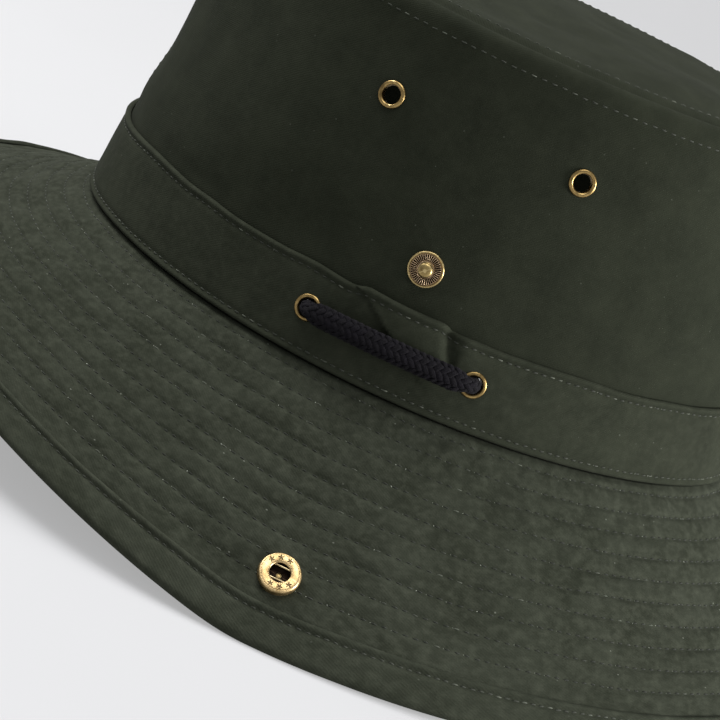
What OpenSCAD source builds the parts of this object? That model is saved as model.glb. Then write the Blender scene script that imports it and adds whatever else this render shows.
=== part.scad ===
// Bucket hat: a cotton crown and a wide stitched brim, with a hat band, brass eyelets,
// a chin cord with a cord lock, and a press stud on each side that holds the brim up.
// The origin is on the table, under the middle of the crown. +Y is the front, +X the right.

/* [Crown] */
// Length of the crown where it meets the brim
head_l = 201; // [194:1:208]
// Width of the crown where it meets the brim
head_w = 168; // [164:1:172]
// How far the crown wall leans in, in degrees
lean = 7; // [5:0.5:9]
// Height of the crown from the brim seam to the top panel
crown_h = 98; // [94:1:102]
// Thickness of the crown cloth
cloth_t = 0.8; // [0.7:0.1:0.9]
// Height of the sweatband inside the crown
sweatband_h = 30; // [28:1:36]

/* [Hat band] */
// Height of the hat band
band_h = 23.5; // [22:0.5:25]
// Thickness of the folded hat band
band_t = 1.2; // [1:0.1:1.3]

/* [Brim] */
// Width of the brim along its slope
brim_w = 78; // [75:1:80]
// Slope of the brim below the horizontal, in degrees
slope = 40; // [38:1:42]
// Thickness of the cloth, stiffener and under cloth together
brim_t = 2; // [1.9:0.1:2.2]
// Width of the edge binding on each face
binding_w = 11; // [9:0.5:12]
// Thickness of the edge binding
binding_t = 0.6; // [0.5:0.1:0.7]
// Distance from the brim seam to the fold line of the side flaps
fold_s = 13.5; // [13:0.5:14.5]

/* [Eyelets] */
// Outer diameter of the eyelets
eyelet_d = 7.4; // [7:0.1:7.6]
// Diameter of the opening in the eyelets
eyelet_bore = 4.9; // [4.8:0.1:5]
// Height of the vent eyelets on the crown wall
vent_h = 71; // [66:1:74]
// Half the distance between the two vents of one side, along the wall
vent_half = 26.5; // [24:0.5:30]
// Height of the cord eyelets on the crown wall
cord_h = 12.5; // [12:0.5:13]
// Half the distance between the two cord eyelets of one side, along the wall
cord_half = 23; // [20:0.5:26]

/* [Press studs] */
// Height of the stud on the crown wall
stud_h = 35; // [34:0.5:36]
// Outer diameter of the stud
stud_d = 9.6; // [9:0.1:10]
// Outer diameter of the socket
socket_d = 11; // [10.8:0.1:11.2]
// Outer diameter of the cap under the brim
cap_d = 12.5; // [12:0.1:13]

/* [Chin cord] */
// Diameter of the braided cord
cord_d = 4.4; // [4:0.1:4.4]
// Height of the two strands that run through the cord lock, above the table
strand_z = 9; // [9:0.5:11]
// How far forward the end of the chin loop lies
loop_y = 106; // [104:1:116]
// How far the button of the cord lock presses in
press_travel = 3.5; // [3:0.1:3.5]

/* [Hidden] */
$fn = 96;

gap = 0.1;              // clearance between sewn layers
big = 500;              // larger than the hat, for cutting blocks

// Plan of the crown: a side arc and an end arc that meet in a common tangent. Their centres
// lie on the legs of a 3-4-5 triangle, so the arcs meet at the same angle for every size.
plan_k = (head_l - head_w) / 4;
end_cy = 4 * plan_k;
side_cx = -3 * plan_k;
end_r = head_w / 2 - 2 * plan_k;
side_r = end_r + 5 * plan_k;

// Offsets of the layers from the plan line, measured square to the wall
sweatband_t = 1.2;
crown_in = sweatband_t + gap;
crown_out = crown_in + cloth_t;
band_in = crown_out + gap;
band_out = band_in + band_t;

// The binding folds round the brim's edge
fold_in = brim_t / 2 + gap;
fold_out = fold_in + binding_t;
edge_s = brim_w - fold_out;
rest_cut = 0.25;        // depth of the flat that the binding rests on
seam_drop = 0.2;        // gap between the brim's upper face and the crown
base_z = seam_drop + edge_s * sin(slope) + brim_t / 2 * cos(slope) + fold_out - rest_cut;

function wall(o, h) = [
    o * cos(lean) - h * sin(lean),
    base_z + o * sin(lean) + h * cos(lean)
];
function brim(s, t) = [
    crown_out + s * cos(slope) + t * sin(slope),
    base_z - seam_drop - s * sin(slope) + t * cos(slope)
];

// Brim layers, from the upper face down
top_cloth_t = 0.6;
under_cloth_t = 0.6;
core_t = brim_t - top_cloth_t - under_cloth_t - 2 * gap;
fold_gap = 0.3;
fold_x = head_w / 2 + brim(fold_s, 0)[0];

// The socket meets the stud when the flap is folded up
mate_gap = 4.3;         // from the crown wall to the flap's face over the stud
fold_u = -fold_s * sin(slope + lean);
fold_v = fold_s * cos(slope + lean);
socket_s = fold_s + norm([stud_h - fold_u, mate_gap - fold_v]);

// Eyelets
bore_r = eyelet_bore / 2;
ring_r = (eyelet_d / 2 - bore_r) / 2;
barrel_t = 0.3;
hole_r = bore_r + barrel_t + gap;
washer_t = 0.4;
washer_d = 8;
roll_r = 0.4;
vent_phi = vent_half / (side_r - vent_h * sin(lean)) * 180 / PI;
cord_phi = cord_half / (side_r - cord_h * sin(lean)) * 180 / PI;

// Studs, sockets and caps
stud_base_t = 0.8;
stud_neck_r = 1.45;
stud_neck_h = 2.75;
stud_head_r = 1.9;
stud_top = 3.6;
stud_bore_top = 2;
post_r = 0.9;
post_hole_r = post_r + gap;
post_head_d = 9;
post_head_t = 0.5;
socket_h = 2.7;
socket_sheet = 0.45;
socket_base_t = 0.3;
socket_hole_r = 2.65;
spring_wire_r = 0.25;
spring_half_gap = 1.8;
spring_straight = 5.6;
spring_z = socket_h - socket_sheet - spring_wire_r - gap;
cap_t = 1;

// The wall stops just under the top panel
top_z = base_z + crown_h - cloth_t;
wall_top_h = (crown_h - cloth_t - gap - crown_out * sin(lean)) / cos(lean);
tape_t = 0.5;
tape_w = 8;

// The cord's outer run and both its eyelets lie in one tilted plane through the side arc's axis
cord_axis_r = (side_r - cord_h * sin(lean)) / cos(lean);
cord_axis_z = base_z + cord_h * cos(lean) - cord_axis_r * sin(lean);
cord_tilt = atan(tan(lean) / cos(cord_phi));
cord_a = asin(cos(lean) * sin(cord_phi));
cord_lift = 4.3;        // from the crown wall to the middle of the cord's outer run
cord_run_r = cord_axis_r + crown_out + cord_lift;
elbow_r = 3.2;
elbow_a = asin(elbow_r / (cord_run_r - elbow_r));
knot_r = 3.6;
knot_o = -2 - knot_r;
knot_steps = 7;
drop_o = -5;            // where the front legs of the cord turn down, inside the sweatband
drop_bend = 4;
drop_r = side_r + wall(drop_o, cord_h)[0] - drop_bend * (1 - sin(lean));
drop_x = side_cx + drop_r * cos(cord_phi);
drop_y = drop_r * sin(cord_phi);
foot_bend = 5;
turn_r = 10;
strand_half = 2.4;

// Cord lock
lock_y = loop_y - 10;
lock_half_y = 5.6;
lock_half_z = 8;
lock_x1 = -12.5;
lock_x2 = 6.5;
lock_wall = 1.5;
lock_round = 3;
plunger_half_y = 3.8;
plunger_half_z = 6.4;
plunger_x1 = -4.6;
plunger_x2 = lock_x2 + press_travel + 0.5;
plunger_fit = 0.15;
slot_half_x = 2.4;
slot_half_z = strand_half * 2;
coil_r = 2.7;
coil_wire_r = 0.3;
coil_turns = 4;

cotton = "#3a3c31";
cotton_dark = "#2b2d25";
brass = "#a08a5c";
bronze = "#6b5b40";

// ---- Helpers -------------------------------------------------------------------------

// The planes through both arc centres part the side arc from the front and back arcs
module side_sector() {
    translate([side_cx, 0, -big])
        linear_extrude(2 * big)
            polygon([[0, 0], [0.6 * big, 0.8 * big], [big, 0], [0.6 * big, -0.8 * big]]);
}

module front_sector() {
    translate([0, end_cy, -big])
        linear_extrude(2 * big)
            polygon([[0, 0], [0.6 * big, 0.8 * big], [0, big]]);
}

module front_arc() {
    intersection() {
        translate([0, end_cy, 0])
            rotate_extrude(angle = 90)
                translate([end_r, 0]) children();
        front_sector();
    }
}

// Sweeps a profile of [offset from the plan line, height] round the right half of the crown
module half_sweep() {
    intersection() {
        translate([side_cx, 0, 0])
            rotate_extrude(angle = 180, start = -90)
                translate([side_r, 0]) children();
        side_sector();
    }
    front_arc() children();
    mirror([0, 1, 0]) front_arc() children();
}

module oval_sweep() {
    half_sweep() children();
    mirror([1, 0, 0]) half_sweep() children();
}

// The crown's plan at an offset from the plan line
module oval(o) {
    intersection() {
        translate([side_cx, 0]) circle(r = side_r + o);
        translate([-side_cx, 0]) circle(r = side_r + o);
        square([2 * side_r, 1.6 * (side_r + o)], center = true);
    }
    translate([0, end_cy]) circle(r = end_r + o);
    translate([0, -end_cy]) circle(r = end_r + o);
}

module wall_section(o1, o2, h1, h2) {
    polygon([wall(o1, h1), wall(o2, h1), wall(o2, h2), wall(o1, h2)]);
}

module wall_strip(o1, o2, h1, h2) {
    oval_sweep() wall_section(o1, o2, h1, h2);
}

module brim_strip(t1, t2, s1, s2) {
    oval_sweep()
        polygon([brim(s1, t1), brim(s2, t1), brim(s2, t2), brim(s1, t2)]);
}

// Places its children on the right crown wall, +Z outwards and +X down the wall
module at_wall(phi, h, o) {
    translate([side_cx, 0, 0])
        rotate([0, 0, phi])
            translate([side_r + wall(o, h)[0], 0, wall(o, h)[1]])
                rotate([0, 90 - lean, 0]) children();
}

// Places its children on the right side of the brim, +Z along the upper face's normal
module at_brim(s) {
    translate([head_w / 2 + brim(s, 0)[0], 0, brim(s, 0)[1]])
        rotate([0, slope, 0]) children();
}

module both_sides() {
    children();
    mirror([1, 0, 0]) children();
}

module at_vents(o) {
    both_sides()
        for (phi = [-vent_phi, vent_phi])
            at_wall(phi, vent_h, o) children();
}

module at_cord_eyelets(o) {
    both_sides()
        for (phi = [-cord_phi, cord_phi])
            at_wall(phi, cord_h, o) children();
}

module at_studs(o) {
    both_sides() at_wall(0, stud_h, o) children();
}

// Keeps the part of the brim inside the two fold lines
module fixed_part() {
    difference() {
        children();
        both_sides()
            translate([fold_x - fold_gap / 2, -big / 2, -1])
                cube([big, big, big]);
    }
}

// Keeps the part of the brim beyond the right fold line
module flap_part() {
    intersection() {
        children();
        translate([fold_x + fold_gap / 2, -big / 2, -1])
            cube([big, big, big]);
    }
}

module ring(r1, r2, h) {
    difference() {
        cylinder(r = r2, h = h);
        translate([0, 0, -h]) cylinder(r = r1, h = 3 * h);
    }
}

module rounded_bar(half_z, half_y, round, x1, x2) {
    translate([x1, 0, 0])
        rotate([0, 90, 0])
            linear_extrude(x2 - x1) {
                square([2 * half_z - 2 * round, 2 * half_y], center = true);
                square([2 * half_z, 2 * half_y - 2 * round], center = true);
                for (z = [-1, 1], y = [-1, 1])
                    translate([z * (half_z - round), y * (half_y - round)]) circle(r = round);
            }
}

// ---- Crown ---------------------------------------------------------------------------

module crown_top() {
    color(cotton_dark)
        translate([0, 0, top_z])
            linear_extrude(cloth_t)
                oval(wall(crown_out, wall_top_h)[0]);
}

module crown_side() {
    difference() {
        half_sweep() wall_section(crown_in, crown_out, 0, wall_top_h);
        translate([gap / 2 - big, -big / 2, 0]) cube([big, big, big]);
        at_vents(0) cylinder(r = hole_r, h = 10, center = true);
        at_cord_eyelets(0) cylinder(r = hole_r, h = 10, center = true);
        at_studs(0) cylinder(r = post_hole_r, h = 10, center = true);
    }
}

module crown_side_right() {
    color(cotton_dark) crown_side();
}

module crown_side_left() {
    color(cotton_dark) mirror([1, 0, 0]) crown_side();
}

// Tape over the seams inside the crown: a ring under the top panel, and a strip at each end
module crown_seam_tape() {
    tape_out = crown_in - gap;
    color("#33352c")
        difference() {
            wall_strip(tape_out - tape_t, tape_out, sweatband_h + 1, wall_top_h);
            both_sides()
                translate([tape_w / 2, -big / 2, 0])
                    cube([big, big, top_z - tape_w]);
        }
}

module hat_band() {
    color(cotton)
        difference() {
            wall_strip(band_in, band_out, 0, band_h);
            at_cord_eyelets(0) cylinder(r = hole_r, h = 10, center = true);
        }
}

module sweatband() {
    color("#24251f")
        difference() {
            wall_strip(0, sweatband_t, 0, sweatband_h);
            at_cord_eyelets(0) cylinder(r = hole_r, h = 10, center = true);
        }
}

// A blank cloth label at the back of the sweatband
module size_label() {
    label_a = 16;
    label_t = 0.4;
    label_h1 = 5;
    label_h2 = 19;
    color("#d9d6cb")
        rotate([0, 0, 270])
            translate([end_cy, 0, 0])
                rotate_extrude(angle = label_a, start = -label_a / 2)
                    translate([end_r, 0])
                        polygon([
                            wall(-gap - label_t, label_h1),
                            wall(-gap, label_h1),
                            wall(-gap, label_h2),
                            wall(-gap - label_t, label_h2)
                        ]);
}

// ---- Brim ----------------------------------------------------------------------------

module brim_top_layer() {
    brim_strip(-top_cloth_t, 0, 0, edge_s);
}

module brim_core_layer() {
    brim_strip(-top_cloth_t - gap - core_t, -top_cloth_t - gap, 0, edge_s);
}

module brim_under_layer() {
    brim_strip(-brim_t, under_cloth_t - brim_t, 0, edge_s);
}

// Section of the binding: two legs and the fold round the edge, flat where it rests
module binding_section() {
    leg = binding_w - fold_out;
    intersection() {
        translate(brim(0, 0))
            rotate(-slope)
                translate([edge_s, -brim_t / 2])
                    difference() {
                        union() {
                            circle(r = fold_out);
                            translate([-leg, -fold_out]) square([leg, 2 * fold_out]);
                        }
                        circle(r = fold_in);
                        translate([-leg - 1, -fold_in]) square([leg + 1, 2 * fold_in]);
                    }
        square([big, big]);
    }
}

module binding_layer() {
    oval_sweep() binding_section();
}

module brim_top_cloth() {
    color(cotton) fixed_part() brim_top_layer();
}

module brim_stiffener() {
    color("#c9c8bf") fixed_part() brim_core_layer();
}

module brim_under_cloth() {
    color(cotton_dark) fixed_part() brim_under_layer();
}

module brim_binding() {
    color("#34362c") fixed_part() binding_layer();
}

// The three layers of a flap share the hole for the socket's rivet
module flap_layer() {
    difference() {
        flap_part() children();
        at_brim(socket_s) cylinder(r = post_hole_r, h = 10, center = true);
    }
}

module flap_right_top_cloth() {
    color(cotton) flap_layer() brim_top_layer();
}

module flap_right_stiffener() {
    color("#c9c8bf") flap_layer() brim_core_layer();
}

module flap_right_under_cloth() {
    color(cotton_dark) flap_layer() brim_under_layer();
}

module flap_right_binding() {
    color("#34362c") flap_part() binding_layer();
}

module flap_left_top_cloth() {
    mirror([1, 0, 0]) flap_right_top_cloth();
}

module flap_left_stiffener() {
    mirror([1, 0, 0]) flap_right_stiffener();
}

module flap_left_under_cloth() {
    mirror([1, 0, 0]) flap_right_under_cloth();
}

module flap_left_binding() {
    mirror([1, 0, 0]) flap_right_binding();
}

// ---- Eyelets -------------------------------------------------------------------------

// Eyelet with its rim on the outside and its barrel rolled over a washer, z = 0 outside
module eyelet(stack) {
    roll_z = -stack - 2 * gap - washer_t;
    rotate_extrude() {
        translate([bore_r + ring_r, 0])
            intersection() {
                circle(r = ring_r, $fn = 32);
                translate([-ring_r, gap]) square([2 * ring_r, ring_r]);
            }
        translate([bore_r, roll_z - gap]) square([barrel_t, gap - roll_z + gap]);
        translate([bore_r + roll_r, roll_z - gap])
            intersection() {
                circle(r = roll_r, $fn = 32);
                translate([-roll_r, -roll_r]) square([2 * roll_r, roll_r]);
            }
    }
}

module washer(stack) {
    translate([0, 0, -stack - gap - washer_t])
        ring(hole_r, washer_d / 2, washer_t);
}

module vent_eyelets() {
    color(brass) at_vents(crown_out) eyelet(cloth_t);
}

module vent_washers() {
    color(bronze) at_vents(crown_out) washer(cloth_t);
}

module cord_eyelets() {
    color(brass) at_cord_eyelets(band_out) eyelet(band_out);
}

module cord_washers() {
    color(bronze) at_cord_eyelets(band_out) washer(band_out);
}

// ---- Press studs ---------------------------------------------------------------------

module snap_stud() {
    rim = (stud_base_t - gap) / 2;
    lip = 0.2;
    rotate_extrude() {
        polygon([
            [post_hole_r, gap],
            [stud_d / 2 - rim, gap],
            [stud_d / 2 - rim, stud_base_t],
            [stud_neck_r, stud_base_t],
            [stud_neck_r, stud_neck_h - lip],
            [stud_head_r, stud_neck_h - lip],
            [stud_head_r, stud_neck_h + 2 * lip],
            [stud_head_r - 0.5, stud_top],
            [0, stud_top],
            [0, stud_bore_top],
            [post_hole_r, stud_bore_top]
        ]);
        translate([stud_d / 2 - rim, gap + rim]) circle(r = rim, $fn = 32);
    }
}

module stud_post() {
    translate([0, 0, -cloth_t - gap - post_head_t]) {
        cylinder(d = post_head_d, h = post_head_t);
        cylinder(r = post_r, h = post_head_t + cloth_t + stud_bore_top - gap);
    }
}

module snap_studs() {
    color(bronze) at_studs(crown_out) snap_stud();
}

module stud_posts() {
    color(brass) at_studs(crown_out) stud_post();
}

module snap_socket() {
    outer = socket_d / 2;
    difference() {
        rotate_extrude() {
            translate([0, gap]) square([outer - socket_sheet, socket_base_t]);
            translate([outer - socket_sheet, gap]) square([socket_sheet, socket_h - gap - socket_sheet]);
            translate([socket_hole_r, socket_h - socket_sheet])
                square([outer - socket_sheet - socket_hole_r, socket_sheet]);
            translate([outer - socket_sheet, socket_h - socket_sheet])
                intersection() {
                    circle(r = socket_sheet, $fn = 32);
                    square(socket_sheet);
                }
        }
        cylinder(r = post_hole_r, h = 1);
    }
}

// A closed loop of spring wire: two straight sides grip the stud's neck
module snap_spring() {
    translate([0, 0, spring_z]) {
        for (side = [-1, 1])
            translate([side * spring_half_gap, spring_straight / 2, 0])
                rotate([90, 0, 0]) cylinder(r = spring_wire_r, h = spring_straight, $fn = 32);
        for (end = [0, 180])
            rotate([0, 0, end])
                translate([0, spring_straight / 2, 0])
                    rotate_extrude(angle = 180)
                        translate([spring_half_gap, 0]) circle(r = spring_wire_r, $fn = 32);
    }
}

module snap_cap() {
    edge = 0.5;
    translate([0, 0, -brim_t - gap - cap_t])
        rotate_extrude() {
            square([cap_d / 2 - edge, cap_t]);
            translate([cap_d / 2 - edge, edge]) square([edge, cap_t - edge]);
            translate([cap_d / 2 - edge, edge]) circle(r = edge, $fn = 32);
            square([post_r, cap_t + gap + brim_t + socket_base_t]);
        }
}

module snap_socket_right() {
    color(brass) at_brim(socket_s) snap_socket();
}

module snap_spring_right() {
    color("silver") at_brim(socket_s) snap_spring();
}

module snap_cap_right() {
    color(brass) at_brim(socket_s) snap_cap();
}

module snap_socket_left() {
    mirror([1, 0, 0]) snap_socket_right();
}

module snap_spring_left() {
    mirror([1, 0, 0]) snap_spring_right();
}

module snap_cap_left() {
    mirror([1, 0, 0]) snap_cap_right();
}

// ---- Chin cord and its lock ----------------------------------------------------------

function unit(v) = v / norm(v);
function square_to(n, t) = unit(n - (n * t) * t);
function tangent(path, i) = unit(path[min(i + 1, len(path) - 1)] - path[max(i - 1, 0)]);

// A tube along a path, with its own radius at each point
module tube(path, radii, sides) {
    last = len(path) - 1;
    normals = [
        for (
            i = 0, n = square_to([0, 0, 1], tangent(path, 0));
            i <= last;
            i = i + 1, n = i <= last ? square_to(n, tangent(path, i)) : n
        ) n
    ];
    points = [
        for (i = [0:last], j = [0:sides - 1])
            let (a = 360 * j / sides, side = cross(tangent(path, i), normals[i]))
                path[i] + radii[i] * (cos(a) * normals[i] + sin(a) * side)
    ];
    walls = [
        for (i = [0:last - 1], j = [0:sides - 1])
            let (k = (j + 1) % sides, p = i * sides, q = p + sides)
                [p + k, p + j, q + j, q + k]
    ];
    caps = [
        [for (j = [0:sides - 1]) j],
        [for (j = [sides - 1:-1:0]) last * sides + j]
    ];
    polyhedron(points, concat(walls, caps), convexity = 8);
}

// A point of the cord's tilted plane, at a distance and an angle from the side arc's axis
function cord_plane(d, a) = [
    side_cx + d * cos(a) * cos(cord_tilt),
    d * sin(a),
    cord_axis_z + d * cos(a) * sin(cord_tilt)
];
function bend_in_plane(d, a, r, turn) =
    cord_plane(d, a) + cord_plane(r, turn) - cord_plane(0, 0);

// Places along the knot, from its far side to where the cord leaves it, in knot radii
function knot_x(i) = i / 4 - 0.95;

// The right side's cord, from its knot to the loop, with its strand at height z
function cord_side(z) =
    let (
        steps = 5,
        run_a = cord_a - elbow_a,
        bend_d = cord_run_r - elbow_r,
        down_wall = [sin(lean) * cos(cord_phi), sin(lean) * sin(cord_phi), -cos(lean)],
        outward = [cos(lean) * cos(cord_phi), cos(lean) * sin(cord_phi), sin(lean)],
        drop_mid = cord_plane(cord_axis_r + drop_o, cord_a) + drop_bend * down_wall,
        foot_mid = [drop_x - foot_bend, drop_y, z + foot_bend],
        turn_mid = [turn_r, drop_y + turn_r, z]
    )
    concat(
        [for (i = [0:knot_steps]) cord_plane(cord_axis_r + knot_o + knot_r * knot_x(i), -cord_a)],
        [for (i = [0:steps]) let (a = (90 + elbow_a) * (1 - i / steps))
            bend_in_plane(bend_d, -run_a, elbow_r, -run_a - a)],
        [for (i = [1:steps]) cord_plane(cord_run_r, run_a * (2 * i / steps - 1))],
        [for (i = [1:steps]) let (a = (90 + elbow_a) * i / steps)
            bend_in_plane(bend_d, run_a, elbow_r, run_a + a)],
        [for (i = [0:steps]) let (a = (90 - lean) * i / steps)
            drop_mid - drop_bend * (cos(a) * down_wall + sin(a) * outward)],
        [for (i = [0:steps]) let (a = 90 * i / steps)
            foot_mid + foot_bend * [cos(a), 0, -sin(a)]],
        [for (i = [0:steps]) let (a = 90 * i / steps)
            turn_mid + turn_r * [-sin(a), -cos(a), 0]]
    );

module chin_cord() {
    right = cord_side(strand_z - strand_half);
    left = cord_side(strand_z + strand_half);
    last = len(left) - 1;
    loop = [
        for (a = [0:22.5:180])
            [0, loop_y + strand_half * sin(a), strand_z - strand_half * cos(a)]
    ];
    path = concat(
        right,
        loop,
        [for (i = [last:-1:0]) [-left[i][0], left[i][1], left[i][2]]]
    );
    radii = [
        for (i = [0:len(path) - 1])
            let (k = min(i, len(path) - 1 - i))
                k < knot_steps ? knot_r * sqrt(1 - pow(knot_x(k), 2)) : cord_d / 2
    ];
    color("#1a1920") tube(path, radii, 10);
}

module at_lock() {
    translate([0, lock_y, strand_z]) children();
}

module lock_body() {
    color("#202124")
        at_lock()
            difference() {
                rounded_bar(lock_half_z, lock_half_y, lock_round, lock_x1, lock_x2);
                rounded_bar(
                    plunger_half_z + plunger_fit, plunger_half_y + plunger_fit,
                    2 + plunger_fit, lock_x1 + lock_wall, lock_x2 + 1
                );
                cube([2 * slot_half_x, 4 * lock_half_y, 2 * slot_half_z], center = true);
            }
}

module lock_plunger() {
    window_x1 = -cord_d / 2 - gap;
    window_x2 = slot_half_x + press_travel;
    color("#26272b")
        at_lock()
            difference() {
                rounded_bar(plunger_half_z, plunger_half_y, 2, plunger_x1, plunger_x2);
                translate([window_x1, -lock_half_y, -slot_half_z])
                    cube([window_x2 - window_x1, 2 * lock_half_y, 2 * slot_half_z]);
            }
}

// Coil spring along X between the body's end wall and the plunger
module lock_spring() {
    steps = 20;
    rings = coil_turns * steps;
    x1 = lock_x1 + lock_wall + gap + coil_wire_r;
    x2 = plunger_x1 - gap - coil_wire_r;
    path = [
        for (i = [0:rings])
            let (a = 360 * i / steps)
                [x1 + (x2 - x1) * i / rings, coil_r * cos(a), coil_r * sin(a)]
    ];
    color("silver") at_lock() tube(path, [for (p = path) coil_wire_r], 8);
}

crown_top();
crown_side_left();
crown_side_right();
crown_seam_tape();
hat_band();
sweatband();
size_label();
brim_top_cloth();
brim_stiffener();
brim_under_cloth();
brim_binding();
flap_right_top_cloth();
flap_right_stiffener();
flap_right_under_cloth();
flap_right_binding();
flap_left_top_cloth();
flap_left_stiffener();
flap_left_under_cloth();
flap_left_binding();
vent_eyelets();
vent_washers();
cord_eyelets();
cord_washers();
snap_studs();
stud_posts();
snap_socket_right();
snap_spring_right();
snap_cap_right();
snap_socket_left();
snap_spring_left();
snap_cap_left();
chin_cord();
lock_body();
lock_spring();
lock_plunger();
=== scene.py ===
"""A cotton bucket hat: cloth, thread, cord and fittings built round the CAD frame.

Lengths are in millimetres until a mesh is made. A place on the crown wall is (t, h, o): the arc
length round the plan line from the right side towards the front, the height up the wall and the
offset outwards. A place on the brim is (t, s, d): s runs down the slope and d is along its normal.
"""

import math

import bpy
import numpy as np
from mathutils import Matrix, Vector


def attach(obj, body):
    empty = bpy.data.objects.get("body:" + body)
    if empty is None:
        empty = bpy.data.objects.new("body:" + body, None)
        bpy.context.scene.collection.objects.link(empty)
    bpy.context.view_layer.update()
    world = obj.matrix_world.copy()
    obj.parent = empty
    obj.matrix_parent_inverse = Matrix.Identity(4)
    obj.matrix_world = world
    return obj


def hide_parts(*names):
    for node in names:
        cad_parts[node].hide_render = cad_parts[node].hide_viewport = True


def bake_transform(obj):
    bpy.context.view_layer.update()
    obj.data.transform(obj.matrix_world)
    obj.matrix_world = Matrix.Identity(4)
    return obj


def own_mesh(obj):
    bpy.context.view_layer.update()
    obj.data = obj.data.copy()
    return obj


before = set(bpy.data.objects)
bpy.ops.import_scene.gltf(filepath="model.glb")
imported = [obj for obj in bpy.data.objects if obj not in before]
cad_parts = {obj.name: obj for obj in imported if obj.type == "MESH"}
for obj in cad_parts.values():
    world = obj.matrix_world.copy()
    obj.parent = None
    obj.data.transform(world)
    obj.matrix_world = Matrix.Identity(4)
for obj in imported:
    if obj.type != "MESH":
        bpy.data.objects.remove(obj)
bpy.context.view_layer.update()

MM = 0.001
rng = np.random.RandomState(11)

# ---- Sizes, as in the CAD source ----

HEAD_L, HEAD_W = 201.0, 168.0
CROWN_H, CLOTH_T, SWEATBAND_H, SWEATBAND_T = 98.0, 0.8, 30.0, 1.2
BAND_H, BAND_T = 23.5, 1.2
BRIM_W, BRIM_T, BINDING_W, BINDING_T = 78.0, 2.0, 11.0, 0.6
LEAN, SLOPE = math.radians(7), math.radians(40)
SIN_L, COS_L, SIN_B, COS_B = math.sin(LEAN), math.cos(LEAN), math.sin(SLOPE), math.cos(SLOPE)
GAP = 0.1
K = (HEAD_L - HEAD_W) / 4
END_CY, SIDE_CX = 4 * K, -3 * K
END_R = HEAD_W / 2 - 2 * K
SIDE_R = END_R + 5 * K
CROWN_IN = SWEATBAND_T + GAP
CROWN_OUT = CROWN_IN + CLOTH_T
BAND_IN = CROWN_OUT + GAP
BAND_OUT = BAND_IN + BAND_T
FOLD_IN = BRIM_T / 2 + GAP
FOLD_OUT = FOLD_IN + BINDING_T
EDGE_S = BRIM_W - FOLD_OUT
BASE_Z = 0.2 + EDGE_S * SIN_B + BRIM_T / 2 * COS_B + FOLD_OUT - 0.25
SIDE_A = math.atan2(4, 3)
SIDE_ARC = SIDE_R * SIDE_A
QUARTER = SIDE_ARC + END_R * (math.pi / 2 - SIDE_A)
ROUND = 4 * QUARTER
FOLD_S = 13.5
VENT_H, VENT_HALF, CORD_H, CORD_HALF, STUD_H = 71.0, 26.5, 12.5, 23.0, 35.0
SOCKET_S = FOLD_S + math.hypot(
    STUD_H + FOLD_S * math.sin(SLOPE + LEAN), 4.3 - FOLD_S * math.cos(SLOPE + LEAN)
)
WALL_TOP = (CROWN_H - CLOTH_T - GAP - CROWN_OUT * SIN_L) / COS_L
VENT_T = VENT_HALF / (SIDE_R - VENT_H * SIN_L) * SIDE_R
CORD_T = CORD_HALF / (SIDE_R - CORD_H * SIN_L) * SIDE_R
ROW_PITCH, ROW_FIRST, ROWS = 6.35, 3.4, 10
ROW_S = ROW_FIRST + ROW_PITCH * np.arange(ROWS)


# ---- Shapes ----


def smooth(x, a, b):
    """0 below a, 1 above b and a soft step between them."""
    x = np.clip((np.asarray(x, float) - a) / (b - a), 0, 1)
    return x * x * (3 - 2 * x)


def xyz(x, y, z):
    return np.stack(np.broadcast_arrays(x, y, z), -1)


def bell(x, width):
    return np.exp(-((x / width) ** 2))


def noise(x, y, seed, wrap=0):
    """Smooth noise from -1 to 1. x repeats every `wrap` cells."""
    cells = np.random.RandomState(seed).uniform(-1, 1, (256, 256))
    x, y = np.broadcast_arrays(x, y)
    ix, iy = np.floor(x).astype(int), np.floor(y).astype(int)
    fx, fy = x - ix, y - iy
    fx, fy = fx * fx * (3 - 2 * fx), fy * fy * (3 - 2 * fy)
    period = wrap or 256
    x0, x1, y0, y1 = ix % period, (ix + 1) % period, iy % 256, (iy + 1) % 256
    low = cells[x0, y0] * (1 - fx) + cells[x1, y0] * fx
    high = cells[x0, y1] * (1 - fx) + cells[x1, y1] * fx
    return low * (1 - fy) + high * fy


def round_noise(t, v, cell_t, cell_v, seed):
    """Noise over (t, v) that closes on itself round the hat."""
    count = max(3, int(round(ROUND / cell_t)))
    return noise(t % ROUND / ROUND * count, v / cell_v + 64, seed, count)


def plan(t):
    """Points on the plan line and their outward normals."""
    t = np.asarray(t, float) % ROUND
    quarter = np.minimum((t / QUARTER).astype(int), 3)
    u = t - quarter * QUARTER
    u = np.where(quarter % 2 == 1, QUARTER - u, u)
    side = u < SIDE_ARC
    a = np.where(side, u / SIDE_R, SIDE_A + (u - SIDE_ARC) / END_R)
    r = np.where(side, SIDE_R, END_R)
    sx = np.where((quarter == 1) | (quarter == 2), -1.0, 1.0)
    sy = np.where(quarter >= 2, -1.0, 1.0)
    x = (np.where(side, SIDE_CX, 0.0) + r * np.cos(a)) * sx
    y = (np.where(side, 0.0, END_CY) + r * np.sin(a)) * sy
    return x, y, np.cos(a) * sx, np.sin(a) * sy


def wrapped(t, period):
    """The arc length brought to within half a period of 0."""
    return (np.asarray(t, float) + period / 2) % period - period / 2


def near_side(t):
    """Distance along the plan line from the middle of the nearer side, right or left."""
    return wrapped(t, ROUND / 2)


def from_side(t):
    """Distance along the plan line from the middle of the right side, negative at the back."""
    return wrapped(t, ROUND)


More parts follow.
